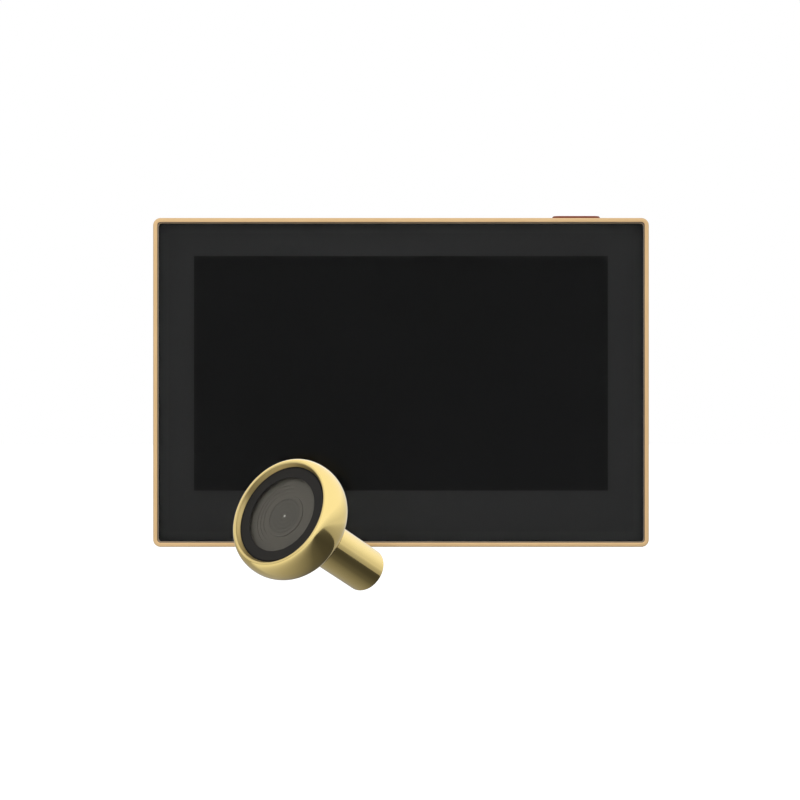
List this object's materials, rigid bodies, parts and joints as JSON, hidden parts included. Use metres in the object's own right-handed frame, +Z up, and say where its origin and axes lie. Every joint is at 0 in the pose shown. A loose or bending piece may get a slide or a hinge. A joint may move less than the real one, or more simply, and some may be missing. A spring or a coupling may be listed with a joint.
{
  "type": "peephole door camera",
  "caption": "Door viewer: a flat screen monitor hung on a door bracket, a hollow clamp bolt, and a round camera unit whose barrel goes through the door.",
  "frame": {"origin": "middle of the bracket's four screw holes, on the door's inside face", "axes": "+X right as seen from the room, +Y through the door to the outside, +Z up"},
  "size_m": [0.1326, 0.0988, 0.0994],
  "materials": {
    "gold_frame": "satin anodised, tan gold",
    "gold_head": "polished, yellow gold",
    "screen_glass": "polished",
    "window_glass": "polished",
    "lens_glass": "coated",
    "black_print": "printed film",
    "screen_dark": "dark polariser",
    "tray_metal": "stamped",
    "black_plastic": "fine moulded texture",
    "black_rubber": "matt",
    "chip_black": "matt",
    "socket_cream": "moulded",
    "amber_film": "film",
    "copper_button": "satin, red-brown",
    "copper_strip": "plated",
    "tin_plate": "plated",
    "steel_screw": "plated",
    "bracket_steel": "black powder coat",
    "brass_bolt": "turned",
    "board_green": "solder mask",
    "baffle_grey": "fine steps",
    "sensor_face": "sensor",
    "battery_foil": "pouch foil"
  },
  "bodies": {
    "door_side": {"door_bracket": "bracket_steel"},
    "monitor": {"front_frame": "gold_frame", "cover_glass": "screen_glass", "glass_gasket": "black_rubber", "glass_border": "black_print", "screen_panel": "screen_dark", "backlight_tray": "tray_metal", "rear_cover": "black_plastic", "cover_screws": "steel_screw", "board_screws": "steel_screw", "main_board": "board_green", "processor_shield": "tin_plate", "memory_chip": "chip_black", "antenna": "copper_strip", "screen_socket": "socket_cream", "camera_socket": "socket_cream", "screen_ribbon": "amber_film", "power_switch": "chip_black", "charging_socket": "tin_plate", "card_socket": "tin_plate", "microphone": "tin_plate", "speaker": "chip_black", "speaker_gasket": "black_rubber", "battery": "battery_foil", "battery_tape": "black_rubber", "battery_socket": "socket_cream"},
    "button": {"power_button": "copper_button", "switch_plunger": "socket_cream"},
    "bolt": {"clamp_bolt": "brass_bolt"},
    "lock": {"lock_screw": "steel_screw"},
    "camera_unit": {"head_shell": "gold_head", "front_window": "window_glass", "window_mask": "black_print", "window_seal": "black_rubber", "lens_baffle": "baffle_grey", "front_lens": "lens_glass", "middle_lens": "lens_glass", "rear_lens": "lens_glass", "lens_barrel": "chip_black", "lens_holder": "chip_black", "infrared_filter": "lens_glass", "image_sensor": "sensor_face", "sensor_board": "board_green", "board_ring": "brass_bolt", "unit_socket": "socket_cream", "back_gasket": "black_rubber", "barrel": "gold_head"}
  },
  "joints": [
    {"name": "monitor_lift", "type": "slide", "parent": "door_side", "child": "monitor", "axis": [0, 0, 1], "range_m": [0, 0.075]},
    {"name": "power_button_press", "type": "slide", "parent": "monitor", "child": "button", "axis": [0, 0, -1], "range_m": [0, 0.0005], "stiffness_N_per_m": 1500, "springref_m": -0.0008},
    {"name": "clamp_bolt_turn", "type": "hinge", "parent": "door_side", "child": "bolt", "pos_m": [0, 0, 0], "axis": [0, 1, 0], "continuous": true},
    {"name": "lock_screw_turn", "type": "hinge", "parent": "door_side", "child": "lock", "pos_m": [0.022, -0.0038, -0.03], "axis": [0, 0, 1], "continuous": true},
    {"name": "camera_draw", "type": "slide", "parent": "door_side", "child": "camera_unit", "axis": [-0.5504, -0.7157, 0.43], "range_m": [0, 0.04]}
  ]
}
